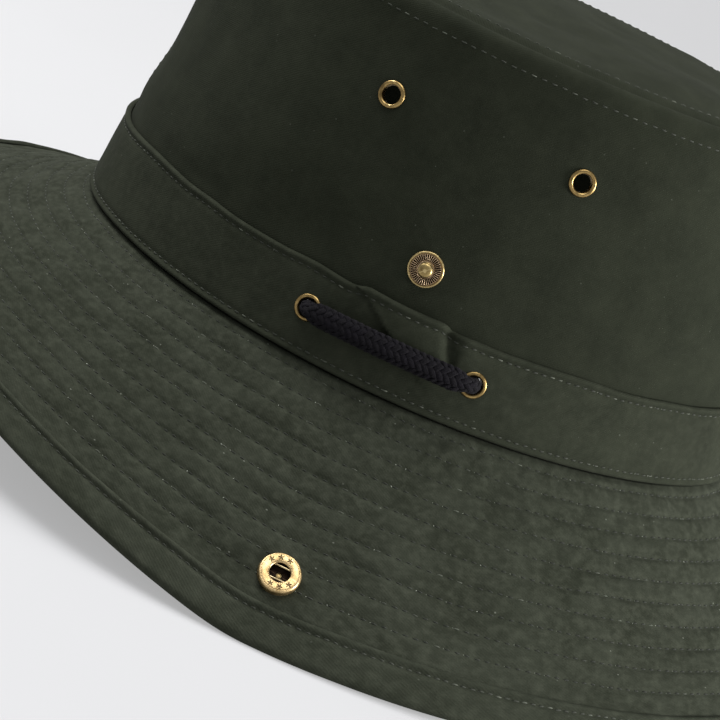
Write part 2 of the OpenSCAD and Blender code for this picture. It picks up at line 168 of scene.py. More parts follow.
def clear_of_fittings(t, h):
    """0 where a vent or a stud sits flat on the wall, 1 away from them."""
    u = near_side(t)
    keep = np.ones(np.broadcast(u, h).shape)
    for at_t, at_h, size in ((VENT_T, VENT_H, 9), (-VENT_T, VENT_H, 9), (0, STUD_H, 11)):
        keep = keep * (1 - np.exp(-((u - at_t) ** 2 + (h - at_h) ** 2) / size**2 * 1.2))
    return keep


def slump(t, h):
    """How far the soft crown wall swells or sinks."""
    amount = smooth(h, BAND_H + 6, BAND_H + 26) * (1 - 0.75 * smooth(h, 80, 96))
    broad = 1.5 * round_noise(t, h, 58, 44, 3) + 0.55 * round_noise(t + 0.5 * h, h, 24, 30, 4)
    # soft slack folds that rise from the top of the band
    fold = round_noise(t - 0.9 * h, h, 26, 60, 5) * bell(h - BAND_H - 9, 11)
    hand = 0.10 * round_noise(t, h, 7, 7, 6)
    slack = smooth(h, BAND_H + 0.5, BAND_H + 7)
    return (broad * amount + (0.85 * fold + hand) * slack) * clear_of_fittings(t, h)


def wall(t, h, o, soft=True):
    x, y, nx, ny = plan(t)
    if soft:
        o = o + slump(t, h)
    out = o * COS_L - h * SIN_L
    return xyz(x + nx * out, y + ny * out, BASE_Z + o * SIN_L + h * COS_L)


BACK_LIFT, FRONT_LIFT, EDGE_DROOP = 31.0, 5.0, 0.9


def brim_lift(t, s):
    """The soft brim stands higher at the back than at the sides, and a little higher in front."""
    angle = t / ROUND * 2 * math.pi
    swing = np.sin(angle)
    rise = np.where(swing < 0, BACK_LIFT * (np.hypot(swing, 0.1) - 0.1), FRONT_LIFT * swing**2)
    rise = rise + 1.6 * np.sin(3 * angle + 0.6) * swing**2
    reach = np.clip(s / BRIM_W, 0, 1.2)
    sag = reach**5 - EDGE_DROOP * smooth(s, 66, 80) ** 1.4
    return rise * reach**1.25 + sag * smooth(np.abs(near_side(t)), 5, 16)


def quilt(t, s):
    """Height of the brim's face: sunk along the rows of stitching and puckered between them."""
    k = np.clip(np.round((s - ROW_FIRST) / ROW_PITCH), 0, ROWS - 1)
    off_row = s - (ROW_FIRST + ROW_PITCH * k)
    on_row = bell(off_row, 0.85)
    drift = t + 0.35 * s
    pucker = 0.30 * round_noise(drift, s, 4.4, 6.35, 21) + 0.16 * round_noise(drift, s, 2.3, 2.8, 22)
    dents = 0.55 * round_noise(t, s, 17, 15, 23) + 0.30 * round_noise(t - 0.5 * s, s, 9, 9, 24)
    flat = 1 - np.exp(-(near_side(t) ** 2 + (s - SOCKET_S) ** 2) / 60)
    ends = smooth(s, 0.2, 3) * (1 - smooth(s, 66, 69))
    return (0.14 - 0.48 * on_row + pucker * (1 - 0.6 * on_row) + dents) * flat * ends


def brim(t, s, d, soft=True):
    x, y, nx, ny = plan(t)
    if soft:
        d = d + quilt(t, s)
    out = CROWN_OUT + s * COS_B + d * SIN_B
    z = BASE_Z - 0.2 - s * SIN_B + d * COS_B + brim_lift(t, s)
    # the lowest fold of the binding lies flat on the table
    return xyz(x + nx * out, y + ny * out, np.maximum(z, 0.02))


JOIN_T, JOIN_H = -14.5, BAND_H


def band_shape(t, h):
    """How far the hat band's face stands off: slack, the overlap of its join and a tuck."""
    u = from_side(t)
    slack = 0.28 * round_noise(t, h, 21, 16, 31) + 0.10 * round_noise(t + h, h, 7, 8, 32)
    along = (u - JOIN_T) - (JOIN_H - h) * 1.62
    lap = smooth(along, -0.35, 0.35) * (1 - smooth(along, 6, 30)) * smooth(h, 6, 12)
    tuck_line = u - 12.5 - (BAND_H - h) * 0.34
    tuck = bell(tuck_line, 1.7) * smooth(h, 9, 19)
    swell = bell(u - 6, 9) * smooth(h, 10, 20) + 0.7 * bell(tuck_line - 5, 3.2) * smooth(h, 13, 20)
    near_eyelet = 1 - np.exp(-((np.abs(near_side(t)) - CORD_T) ** 2 + (h - CORD_H) ** 2) / 42)
    return (slack + lap + 0.95 * swell - 1.5 * tuck) * near_eyelet * smooth(h, 0, 3)


def band_edge(t, h):
    """The band's top edge wanders up and down a little."""
    u = from_side(t)
    wander = 0.5 * round_noise(t, 0, 24, 9, 33) + 0.18 * round_noise(t, 0, 9, 9, 34)
    step = 1.3 * smooth(u, JOIN_T - 1, JOIN_T + 4) * (1 - smooth(u, 9.5, 14.5))
    return h + (wander + step) * smooth(h, 12, BAND_H)


# ---- Meshes ----


def link(obj):
    bpy.context.scene.collection.objects.link(obj)
    return obj


def new_mesh(name, points, faces, uv=None):
    """points in millimetres; uv has one pair for each corner of each face."""
    data = bpy.data.meshes.new(name)
    data.from_pydata((np.asarray(points) * MM).tolist(), [], [list(map(int, f)) for f in faces])
    if uv is not None:
        layer = data.uv_layers.new(name="cloth")
        layer.data.foreach_set("uv", np.asarray(uv, np.float32).ravel())
    data.polygons.foreach_set("use_smooth", np.ones(len(data.polygons), bool))
    data.update()
    return link(bpy.data.objects.new(name, data))


def grid(name, points, us, vs, close_u=False, close_v=False, cut=None, caps=False):
    """A skin over points[u, v]. `cut` marks the points whose faces are left out."""
    nu, nv = points.shape[:2]
    i = np.arange(nu if close_u else nu - 1)
    j = np.arange(nv if close_v else nv - 1)
    i, j = np.meshgrid(i, j, indexing="ij")
    i, j = i.ravel(), j.ravel()
    i2, j2 = (i + 1) % nu, (j + 1) % nv
    quads = np.stack([i * nv + j, i * nv + j2, i2 * nv + j2, i2 * nv + j], 1)
    u_end = np.append(us, us[-1] + (us[-1] - us[-2]))
    v_end = np.append(vs, vs[-1] + (vs[-1] - vs[-2]))
    corners = ((i, j), (i, j + 1), (i + 1, j + 1), (i + 1, j))
    uv = np.stack([np.stack([u_end[a], v_end[b]], 1) for a, b in corners], 1)
    if cut is not None:
        keep = ~cut.ravel()[quads].any(1)
        quads, uv = quads[keep], uv[keep]
    faces = quads.tolist()
    uv = uv.reshape(-1, 2)
    if caps:
        faces += [list(range(nv - 1, -1, -1)), list(range((nu - 1) * nv, nu * nv))]
        uv = np.concatenate([uv, np.zeros((2 * nv, 2))])
    return new_mesh(name, points.reshape(-1, 3), faces, uv)


def sheet(heights, face, back):
    """The section of a plain sheet: up its face and down its back."""
    return [(h, face) for h in heights] + [(h, back) for h in heights[::-1]]


def section_lengths(section):
    steps = np.hypot(*np.diff(np.array(section, float), axis=0).T)
    return np.concatenate([[0], np.cumsum(steps)])


def sweep(name, section, surface, ts, close=False, cut=None):
    """Sweeps a closed section [(height, offset), ...] round a surface."""
    section = np.array(section, float)
    t, h = np.meshgrid(ts, section[:, 0], indexing="ij")
    o = np.broadcast_to(section[:, 1], h.shape)
    gone = None
    if cut is not None:
        t, h, gone = cut(t, h)
    points = surface(t, h, o)
    return grid(name, points, np.asarray(ts), section_lengths(section), close, True, gone, not close)


def open_holes(centres, radius, reach=6.0, core=1.1):
    """Opens a round hole at each (t, h): points near it move outwards and its middle is left out."""

    def shift(t, h):
        t, h = t.copy(), h.copy()
        gone = np.zeros(t.shape, bool)
        for at_t, at_h in centres:
            du = from_side(t - at_t)
            dh = h - at_h
            r = np.hypot(du, dh) + 1e-9
            inside = r < reach
            wide = radius + (np.maximum(r, core) - core) / (reach - core) * (reach - radius)
            scale = np.where(inside, wide / r, 1)
            t += np.where(inside, du * (scale - 1), 0)
            h += np.where(inside, dh * (scale - 1), 0)
            gone |= r < core
        return t, h, gone

    return shift


def lathe(profile, places, name, sides=64, shape=None):
    """Turns a profile [(radius, height), ...] at each placing matrix; one mesh for all of them."""
    profile = np.array(profile, float)
    angles = np.arange(sides) / sides * 2 * math.pi
    r, a = np.meshgrid(profile[:, 0], angles, indexing="ij")
    z = np.broadcast_to(profile[:, 1:2], r.shape).copy()
    stamp = np.zeros(r.shape)
    if shape is not None:
        z, stamp = shape(r, a, z)
    local = np.stack([r * np.cos(a), r * np.sin(a), z], -1).reshape(-1, 3)
    n = len(profile)
    i, j = np.meshgrid(np.arange(n - 1), np.arange(sides), indexing="ij")
    i, j = i.ravel(), j.ravel()
    j2 = (j + 1) % sides
    quads = np.stack([i * sides + j, i * sides + j2, (i + 1) * sides + j2, (i + 1) * sides + j], 1)
    points, faces = [], []
    for place in places:
        faces.append(quads + sum(map(len, points)))
        m = np.array(place)
        moved = local @ m[:3, :3].T + m[:3, 3]
        if np.linalg.det(m[:3, :3]) < 0:
            faces[-1] = faces[-1][:, ::-1]
        points.append(moved)
    obj = new_mesh(name, np.concatenate(points), np.concatenate(faces))
    mark = obj.data.attributes.new("stamp", "FLOAT", "POINT")
    mark.data.foreach_set("value", np.tile(stamp.ravel(), len(places)).astype(np.float32))
    return obj


def placing(x_axis, z_axis, origin, mirror):
    """A placing matrix from two of its axes, on the right side or mirrored to the left."""
    m = np.eye(4)
    m[:3, 0], m[:3, 1], m[:3, 2], m[:3, 3] = x_axis, np.cross(z_axis, x_axis), z_axis, origin
    return np.diag([-1.0, 1, 1, 1]) @ m if mirror else m


def at_wall(t, h, o, mirror):
    """Placing matrix on the right wall: +Z outwards, +X down the wall."""
    x, y, nx, ny = (float(v) for v in plan(t))
    out = o * COS_L - h * SIN_L
    down, outward = (nx * SIN_L, ny * SIN_L, -COS_L), (nx * COS_L, ny * COS_L, SIN_L)
    origin = (x + nx * out, y + ny * out, BASE_Z + o * SIN_L + h * COS_L)
    return placing(down, outward, origin, mirror)


def at_brim(s, mirror):
    """Placing matrix on the right side of the brim: +Z along its normal, +X down the slope."""
    origin = (HEAD_W / 2 + CROWN_OUT + s * COS_B, 0, BASE_Z - 0.2 - s * SIN_B)
    return placing((COS_B, 0, -SIN_B), (SIN_B, 0, COS_B), origin, mirror)


def unit(v):
    return v / np.linalg.norm(v, axis=-1, keepdims=True)


def tubes(name, paths, sides, widths, heights, normals):
    """Tubes along paths[n, k, 3]; each has its width across and height along its normals."""
    n, k = paths.shape[:2]
    tangent = unit(np.gradient(paths, axis=1))
    side = unit(np.cross(tangent, normals))
    up = np.cross(side, tangent)
    a = np.arange(sides) / sides * 2 * math.pi
    ring = np.cos(a)[:, None] * side[:, :, None] * widths[..., None, None]
    ring = ring + np.sin(a)[:, None] * up[:, :, None] * heights[..., None, None]
    points = (paths[:, :, None] + ring).reshape(-1, 3)
    q, i, j = np.meshgrid(np.arange(n), np.arange(k - 1), np.arange(sides), indexing="ij")
    q, i, j = q.ravel(), i.ravel(), j.ravel()
    ring_start = (q * k + i) * sides
    j2 = (j + 1) % sides
    next_ring = ring_start + sides
    quads = np.stack([ring_start + j, next_ring + j, next_ring + j2, ring_start + j2], 1)
    first = (np.arange(n) * k * sides)[:, None] + np.arange(sides)
    last = first[:, ::-1] + (k - 1) * sides
    return new_mesh(name, points, quads.tolist() + first.tolist() + last.tolist())


def stitch_points(surface, ts, v, d, pitch, length, wobble=0.06):
    """Stitches along a row of a surface: their paths and the surface's normals there."""
    line = surface(ts, v, d)
    run = np.concatenate([[0], np.cumsum(np.linalg.norm(np.diff(line, axis=0), axis=1))])
    count = max(1, int(run[-1] / pitch))
    start = (np.arange(count) + 0.12) * run[-1] / count
    start = start + rng.uniform(-0.08, 0.08, count)
    where = start[:, None] + np.linspace(0, length, 5)[None] * rng.uniform(0.92, 1.06, (count, 1))
    t = np.interp(where, run, ts)
    vv = v + rng.normal(0, wobble, (count, 1))
    vv = vv + rng.normal(0, wobble * 0.6, (count, 1)) * np.linspace(-1, 1, 5)[None]
    rise = np.array([-0.22, 0.05, 0.13, 0.05, -0.22])[None]
    low = surface(t, vv, d + rise)
    return low, unit(surface(t, vv, d + rise + 0.5) - low)


def thread(name, rows, radius):
    """All the stitches of one seam as one piece."""
    paths = np.concatenate([p for p, _ in rows])
    normals = np.concatenate([n for _, n in rows])
    swell = np.array([0.35, 0.9, 1.0, 0.9, 0.35])[None] * np.ones((len(paths), 1)) * radius
    return tubes(name, paths, 6, swell, swell * 0.85, normals)


def specks(name, rows, share, size):
    """Tufts of bright thread where a stitch enters the cloth."""
    ends = np.concatenate([p[:, 0] for p, _ in rows])
    normals = np.concatenate([n[:, 0] for _, n in rows])
    chosen = rng.uniform(size=len(ends)) < share
    ends, normals = ends[chosen], normals[chosen]
    count = len(ends)
    direction = rng.normal(size=(count, 3))
    direction = unit(direction - (direction * normals).sum(1, keepdims=True) * normals)
    half = rng.uniform(0.16, 0.30, (count, 1)) * size
    middle = ends + normals * 0.20
    along = np.array([-1, -0.4, 0.4, 1])[None, :, None]
    paths = middle[:, None] + direction[:, None] * (along * half[:, None])
    swell = np.array([0.25, 1, 1, 0.25])[None] * rng.uniform(0.10, 0.17, (count, 1)) * size
    return tubes(name, paths, 5, swell, swell, np.repeat(normals[:, None], 4, 1))


# ---- Materials ----


def rgb(text):
    """A linear colour from an sRGB hex colour."""
    values = [int(text[i : i + 2], 16) / 255 for i in (0, 2, 4)]
    return [v / 12.92 if v <= 0.04045 else ((v + 0.055) / 1.055) ** 2.4 for v in values] + [1.0]


class Nodes:
    """A few helpers to lay out a material's node tree."""

    def __init__(self, name):
        self.material = bpy.data.materials.new(name)
        self.material.use_nodes = True
        self.tree = self.material.node_tree
        self.bsdf = self.tree.nodes["Principled BSDF"]

    def add(self, kind, **values):
        """A new node. Each value goes to the attribute or else to the input of that name."""
        node = self.tree.nodes.new(kind)
        for key, value in values.items():
            if hasattr(node, key):
                setattr(node, key, value)
            else:
                node.inputs[key.replace("_", " ")].default_value = value
        return node

    def feed(self, value, socket):
        """Links a socket to another node's output, or sets it to a plain value."""
        if isinstance(value, bpy.types.NodeSocket):
            self.tree.links.new(value, socket)
        else:
            socket.default_value = value

    def set(self, **values):
        """Sets or links inputs of the surface shader."""
        for key, value in values.items():
            self.feed(value, self.bsdf.inputs[key.replace("_", " ")])

    def place(self):
        return self.add("ShaderNodeTexCoord").outputs["Object"]

    def geometry(self, output):
        return self.add("ShaderNodeNewGeometry").outputs[output]

    def noise(self, vector, scale, detail=3.0, roughness=0.55):
        node = self.add("ShaderNodeTexNoise", Scale=scale, Detail=detail, Roughness=roughness)
        self.feed(vector, node.inputs["Vector"])
        return node.outputs["Fac"]

    def ramp(self, value, low, high, a=0.0, b=1.0):
        """Turns the range from low to high into a to b, and stops there."""
        node = self.add("ShaderNodeMapRange", From_Min=low, From_Max=high, To_Min=a, To_Max=b)
        self.feed(value, node.inputs["Value"])
        return node.outputs["Result"]

    def mix(self, factor, a, b):
        """Colour a where the factor is 0, colour b where it is 1."""
        node = self.add("ShaderNodeMix", data_type="RGBA")
        self.feed(factor, node.inputs[0])
        self.feed(a, node.inputs[6])
        self.feed(b, node.inputs[7])
        return node.outputs[2]

    def math(self, operation, a, b):
        node = self.add("ShaderNodeMath", operation=operation)
        self.feed(a, node.inputs[0])
        self.feed(b, node.inputs[1])
        return node.outputs[0]

    def bump(self, height, strength, distance):
        """Fine relief on the surface, from a height."""
        node = self.add("ShaderNodeBump", Strength=strength, Distance=distance)
        self.feed(height, node.inputs["Height"])
        self.feed(node.outputs["Normal"], self.bsdf.inputs["Normal"])


def cloth_material(name, colour, dark, light, weave=1.0, lint=1.0, mottle=1.0, pitch=0.62):
    """Brushed cotton twill. The UV map is in millimetres of cloth."""
    n = Nodes(name)
    uv = n.add("ShaderNodeUVMap").outputs[0]
    colour, dark, light = rgb(colour), rgb(dark), rgb(light)
    broad = n.noise(uv, 0.075, 5.0, 0.62)
    blotch = n.noise(uv, 0.42, 4.0, 0.6)
    fuzz = n.noise(uv, 2.6, 3.0, 0.65)
    shade = n.mix(n.ramp(broad, 0.36, 0.66), dark, colour)
    shade = n.mix(n.ramp(blotch, 0.42, 0.75, 0.0, 0.55 * mottle), shade, light)
    shade = n.mix(n.ramp(fuzz, 0.52, 0.86, 0.0, 0.42 * mottle), shade, light)
    shade = n.mix(n.ramp(fuzz, 0.47, 0.22, 0.0, 0.5 * mottle), shade, dark)
    # twill lines run across the cloth at an angle
    scale = (1 / pitch, 1 / pitch, 1)
    turned = n.add("ShaderNodeMapping", Rotation=(0, 0, math.radians(52)), Scale=scale)
    n.feed(uv, turned.inputs["Vector"])
    lines = n.add("ShaderNodeTexWave", Scale=0.314, Distortion=1.6, Detail=2.0, Detail_Scale=2.4)
    n.feed(turned.outputs[0], lines.inputs["Vector"])
    twill = lines.outputs["Fac"]
    shade = n.mix(n.ramp(twill, 0.1, 0.95, 0.0, 0.16 * weave), shade, light)
    # specks of lint caught in the brushed face
    spots = n.add("ShaderNodeTexVoronoi", Scale=0.21)
    n.feed(uv, spots.inputs["Vector"])
    speck = n.ramp(spots.outputs["Distance"], 0.055, 0.03, 0.0, 0.34 * lint)
    shade = n.mix(speck, shade, rgb("a9ad9f"))
    n.set(Base_Color=shade, Roughness=0.93, Specular_IOR_Level=0.08)
    n.set(Sheen_Weight=0.05, Sheen_Roughness=0.45, Sheen_Tint=light)
    ribs = n.math("MULTIPLY", twill, 0.5 * weave)
    nap = n.math("ADD", n.math("MULTIPLY", fuzz, 0.9), n.math("MULTIPLY", blotch, 0.8))
    n.bump(n.math("ADD", ribs, nap), 0.55, 0.00016)
    return n.material


def thread_material(name, colour, light, share):
    """Twisted thread. Stitches past the given share of them are lighter."""
    n = Nodes(name)
    island = n.geometry("Random Per Island")
    shade = n.mix(n.ramp(island, share, 1.0), rgb(colour), rgb(light))
    n.set(Base_Color=shade, Roughness=0.75, Sheen_Weight=0.1, Specular_IOR_Level=0.2)
    n.bump(n.noise(n.place(), 5200, 2.0), 0.4, 0.00008)
    return n.material


def metal_material(name, colour, worn, tarnish, roughness, stamp=None, wear=1.0, patchy=0.75):
    """Aged plate: tarnish in the hollows, brighter on the edges and fine scratches."""
    n = Nodes(name)
    worn, tarnish = rgb(worn), rgb(tarnish)
    patches = n.noise(n.place(), 420, 4.0, 0.6)
    fine = n.noise(n.place(), 3800, 3.0, 0.6)
    shade = n.mix(n.ramp(patches, 0.42, 0.66, 0.0, patchy), rgb(colour), tarnish)
    shade = n.mix(n.ramp(n.geometry("Pointiness"), 0.51, 0.57, 0.0, 0.8 * wear), shade, worn)
    shade = n.mix(n.ramp(n.geometry("Pointiness"), 0.49, 0.43, 0.0, 0.8 * wear), shade, tarnish)
    if stamp:
        mark = n.add("ShaderNodeAttribute", attribute_name="stamp")
        shade = n.mix(mark.outputs["Fac"], shade, rgb(stamp))
    rough = n.ramp(fine, 0.3, 0.75, roughness - 0.06, roughness + 0.16)
    n.set(Base_Color=shade, Roughness=rough, Metallic=1.0)
    n.bump(n.math("ADD", fine, patches), 0.12, 0.00006)
    return n.material


def cord_material():
    n = Nodes("cord_braid")
    fibre = n.noise(n.place(), 2600, 4.0, 0.65)
    shade = n.mix(n.ramp(fibre, 0.35, 0.75), rgb("0a090b"), rgb("1b191c"))
    island = n.geometry("Random Per Island")
    shade = n.mix(n.ramp(island, 0.0, 1.0, 0.0, 0.25), shade, rgb("15121a"))
    lint = n.noise(n.place(), 900, 2.0)
    shade = n.mix(n.ramp(lint, 0.70, 0.80, 0.0, 0.35), shade, rgb("444146"))
    n.set(Base_Color=shade, Roughness=0.86, Specular_IOR_Level=0.10)
    n.set(Sheen_Weight=0.02, Sheen_Roughness=0.4)
    n.bump(fibre, 0.9, 0.0003)
    return n.material


def plastic_material(name, colour, scuffed):
    n = Nodes(name)
    scuffed = rgb(scuffed)
    grain = n.noise(n.place(), 1900, 3.0, 0.6)
    scuffs = n.noise(n.place(), 180, 3.0)
    shade = n.mix(n.ramp(scuffs, 0.45, 0.7, 0.0, 0.5), rgb(colour), scuffed)
    shade = n.mix(n.ramp(n.geometry("Pointiness"), 0.51, 0.60, 0.0, 0.6), shade, scuffed)
    n.set(Base_Color=shade, Roughness=n.ramp(grain, 0.3, 0.7, 0.42, 0.58))
    n.bump(grain, 0.25, 0.00008)
    return n.material


# Painted shade: the crown is the same twill as the brim but is given darker colours, because the crown's
# wall catches less light than the brim.
CROWN_CLOTH_PAINTED_SHADE = cloth_material("crown_cotton", "25281e", "1e2118", "2d3026", weave=0.6, lint=0.2, mottle=0.45)
BAND = cloth_material("band_cotton", "2a2d23", "22251c", "373a2f", weave=0.5, lint=0.4, mottle=0.75)
BRIM = cloth_material("brim_cotton", "2d3027", "22251c", "42453a", weave=0.45, lint=0.6, mottle=1.0)
BINDING = cloth_material("binding_cotton", "2e3128", "24271e", "3e4136", weave=0.6, lint=0.2)
UNDER = cloth_material("under_cotton", "292c22", "21241b", "34372c", lint=0.3, mottle=0.6)
SWEAT = cloth_material("sweatband_cloth", "22231f", "1a1b18", "33342f", weave=1.6, lint=0.2)
TAPE = cloth_material("tape", "2f322a", "25271f", "44473c", weave=2.0, lint=0.2, pitch=0.45)
CORE = cloth_material("stiffener", "b9b7ab", "a5a397", "cfcdc2", weave=0.5, lint=0.0)
LABEL = cloth_material("label_cloth", "cdcabd", "bdb9ab", "dedbd0", weave=1.2, lint=0.0, pitch=0.3)
THREAD = thread_material("thread", "33362d", "565a4e", 0.8)
ROW_THREAD = thread_material("row_thread", "1f221a", "4d5145", 0.9)
BAND_THREAD = thread_material("band_thread", "30332a", "5b5f52", 0.8)
LINT = thread_material("thread_ends", "5c6054", "9a9e91", 0.6)
BRASS = metal_material("eyelet_brass", "a98f5c", "d9c28d", "5c4a2c", 0.30)
WASHER = metal_material("washer_brass", "8d7950", "b8a271", "4d4029", 0.4)
STUD_RIM = metal_material("stud_brass", "a08a5a", "d3bd88", "5b4a2d", 0.33)
STUD_DISH = metal_material(
    "stud_bronze", "b39c7e", "d0bb98", "5a4a3a", 0.36, stamp="0c0907", wear=0.0, patchy=0.25
)
SOCKET = metal_material("socket_brass", "c9ad7c", "e6d0a3", "80683f", 0.34, stamp="2c2117", wear=0.6)
CAP = metal_material("cap_brass", "ad9462", "d6bf8b", "5f4d2f", 0.3)
STEEL = metal_material("spring_wire", "c9b78f", "e9dcbd", "6d5c3e", 0.25)
# Painted shade: the inside of the socket, seen through its hole, is brass given a near-black colour.
SHADE = metal_material("socket_inside_painted_shade", "2a2019", "4a3a2b", "130e0b", 0.5)
CORD = cord_material()
LOCK = plastic_material("lock_plastic", "17181a", "34363a")
PLUNGER = plastic_material("plunger_plastic", "1c1d20", "3a3c41")


def dress(obj, material):
    obj.data.materials.clear()
    obj.data.materials.append(material)
    return obj


def fit(obj, material, slot, *nodes, body="hat"):
    """Dresses a piece, lets it stand for its CAD nodes and fixes it to a body."""
    dress(obj, material)
    if nodes:
        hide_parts(*nodes)
    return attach(obj, body)


# ---- Crown ----

HOLE_R = 2.85
SEAM_HALF_GAP = 0.04
TOP_Z = BASE_Z + CROWN_H
RIM_H = WALL_TOP - 5.5


def crown_surface(t, h, o):
    """The crown wall with its rounded shoulder and the dips at the front and back seams."""
    over = np.clip((h - RIM_H) / (WALL_TOP - RIM_H), 0, 1)
    to_seam = np.abs(np.abs(from_side(t)) - QUARTER)
    dip = 0.75 * bell(to_seam, 1.1) - 0.28 * bell(to_seam - 3.0, 2.0)
    return wall(t, h - 1.1 * over**3, o - 2.4 * over**2.2 - dip * smooth(h, 0, 6))


def crown_side(name, middle):
    heights = np.concatenate([np.linspace(0, RIM_H, 98), np.linspace(RIM_H, WALL_TOP, 8)[1:]])
    section = sheet(heights, CROWN_OUT, CROWN_IN)
    half = QUARTER - SEAM_HALF_GAP
    ts = middle + np.linspace(-half, half, 330)
    holes = [(middle + VENT_T, VENT_H), (middle - VENT_T, VENT_H)]
    holes += [(middle + CORD_T, CORD_H), (middle - CORD_T, CORD_H)]
    return sweep(name, section, crown_surface, ts, cut=open_holes(holes, HOLE_R))


for side, middle in (("right", 0.0), ("left", ROUND / 2)):
    fit(crown_side("crown_wall_" + side, middle), CROWN_CLOTH_PAINTED_SHADE, "crown_cotton", "crown_side_" + side)


def top_surface(t, inset, d):
    """The top panel, from its seam (inset 0) to the middle (inset 1), softly domed."""
    x, y, nx, ny = plan(t)
    out = (CROWN_OUT - 3.1) * COS_L - WALL_TOP * SIN_L
    px, py = x + nx * out, y + ny * out
    edge_in = np.clip(inset * 75, 0, 80)
    sx, sy = px * (1 - inset), py * (1 - inset)
    dome = 4.6 * (1 - (1 - inset) ** 2) + 1.5 * smooth(edge_in, 0, 4)
    sag = 1.5 * noise(sx / 42 + 9, sy / 42 + 9, 41) + 0.5 * noise(sx / 15 + 5, sy / 15 + 5, 42)
    ripple = 0.135 * noise(sx / 7 + 3, sy / 7 + 3, 43)
    z = TOP_Z - 3.0 + dome + (sag + ripple) * smooth(edge_in, 3, 16) + d
    return xyz(sx, sy, z)


def crown_top_panel():
    """The panel runs in to a pinhole in the middle. Its weave is straight, not round."""
    ts = np.linspace(0, ROUND, 360, endpoint=False)
    inset = np.concatenate([np.linspace(0, 0.1, 16), np.linspace(0.12, 0.97, 54), [0.99, 0.9995]])
    t, i = np.meshgrid(ts, inset, indexing="ij")
    points = np.concatenate([top_surface(t, i, 0.0), top_surface(t, i, -CLOTH_T)[:, ::-1]], 1)
    obj = grid("crown_top_panel", points, ts, np.arange(2.0 * len(inset)), True, True)
    corner = np.zeros(len(obj.data.loops), np.int32)
    obj.data.loops.foreach_get("vertex_index", corner)
    flat = points.reshape(-1, 3)[corner, :2].astype(np.float32)
    obj.data.uv_layers[0].data.foreach_set("uv", flat.ravel())
    return obj


fit(crown_top_panel(), CROWN_CLOTH_PAINTED_SHADE, "crown_cotton", "crown_top")

all_round = np.linspace(0, ROUND, 720, endpoint=False)


def tape_piece():
    """Tape under the crown's seams: a ring below the top and a strip at the front and the back."""
    o1, o2 = CROWN_IN - 0.55, CROWN_IN - 0.08
    ring = sheet(np.linspace(RIM_H - 8, RIM_H - 0.4, 8), o2, o1)
    pieces = [sweep("tape_ring", ring, wall, all_round, True)]
    strip = sheet(np.linspace(SWEATBAND_H + 1, RIM_H - 8.4, 40), o2, o1)
    for k, at in enumerate((QUARTER, 3 * QUARTER)):
        pieces.append(sweep(f"tape_strip_{k}", strip, wall, at + np.linspace(-5, 5, 12)))
    return join_pieces("crown_tape", pieces)


def join_pieces(name, pieces):
    """One mesh from several, with their UV maps."""
    points, faces, uvs, start = [], [], [], 0
    for p in pieces:
        co = np.zeros(len(p.data.vertices) * 3, np.float32)
        p.data.vertices.foreach_get("co", co)
        points.append(co.reshape(-1, 3) / MM)
        faces += [[v + start for v in f.vertices] for f in p.data.polygons]
        if p.data.uv_layers:
            uv = np.zeros(len(p.data.loops) * 2, np.float32)
            p.data.uv_layers[0].data.foreach_get("uv", uv)
            uvs.append(uv.reshape(-1, 2))
        start += len(p.data.vertices)
        bpy.data.objects.remove(p)
    return new_mesh(name, np.concatenate(points), faces, np.concatenate(uvs) if uvs else None)


fit(tape_piece(), TAPE, "tape", "crown_seam_tape")

# ---- Band, sweatband and label ----

BAND_ROWS = (2.05, 21.35)
band_face = [
    (0.05, 2.45), (0.0, 2.9), (0.08, 3.4), (0.35, 3.75), (0.7, 3.88), (1.05, 3.82), (1.4, 3.6),
    (1.75, 3.36), (2.05, 3.28), (2.4, 3.34), (2.9, 3.48), (3.6, 3.55),
]
band_face += [(h, 3.55) for h in np.linspace(4.4, 19.8, 24)]
band_face += [
    (20.4, 3.5), (20.9, 3.38), (21.3, 3.28), (21.65, 3.36), (21.95, 3.58), (22.3, 3.78),
    (22.65, 3.86), (22.95, 3.8), (23.2, 3.6), (23.42, 3.2), (23.5, 2.75), (23.4, 2.4),
]
band_back = [(h, BAND_IN + 0.02) for h in np.linspace(23.0, 0.4, 20)]


def band_surface(t, h, o):
    face = smooth(o, BAND_IN + 0.3, BAND_OUT - 0.2)
    return wall(t, band_edge(t, h), o + band_shape(t, h) * face, soft=False)


# the band's mesh is finer at the right side, where its join and tuck are
FINE_HALF = 40
fine_ts = np.linspace(-FINE_HALF, FINE_HALF, 300, endpoint=False)
rest_ts = np.linspace(FINE_HALF, ROUND - FINE_HALF, 620, endpoint=False)
band_ts = np.concatenate([fine_ts, rest_ts])
band_holes = [(t, CORD_H) for t in (CORD_T, -CORD_T, ROUND / 2 + CORD_T, ROUND / 2 - CORD_T)]
cut = open_holes(band_holes, HOLE_R, 5.0)
piece = sweep("hat_band_cloth", band_face + band_back, band_surface, band_ts, True, cut)
fit(piece, BAND, "brim_cotton", "hat_band")


def sweat_surface(t, h, o):
    inner = smooth(CROWN_IN - 0.3 - o, 0, 0.6)
    return wall(t, h, o + (0.12 * round_noise(t, h, 6, 9, 51) - 0.12) * inner, soft=False)


SWEAT_ROW = 27.0
heights = np.linspace(0.2, SWEATBAND_H - 0.2, 40)
section = [(-1.1, 0.95), (-0.2, 1.05)] + [(h, SWEATBAND_T - 0.03) for h in heights]
section.append((SWEATBAND_H, 0.7))
for h in heights[::-1]:
    section.append((h, 0.08 - 0.10 * math.cos(min(1.0, abs(h - SWEAT_ROW) / 3) * math.pi)))
section += [(-0.9, 0.1), (-1.15, 0.5)]
piece = sweep("sweatband_cloth", section, sweat_surface, all_round, True, cut)
fit(piece, SWEAT, "sweatband_cloth", "sweatband")


def label_surface(t, h, o):
    return wall(t, h, o, soft=False)


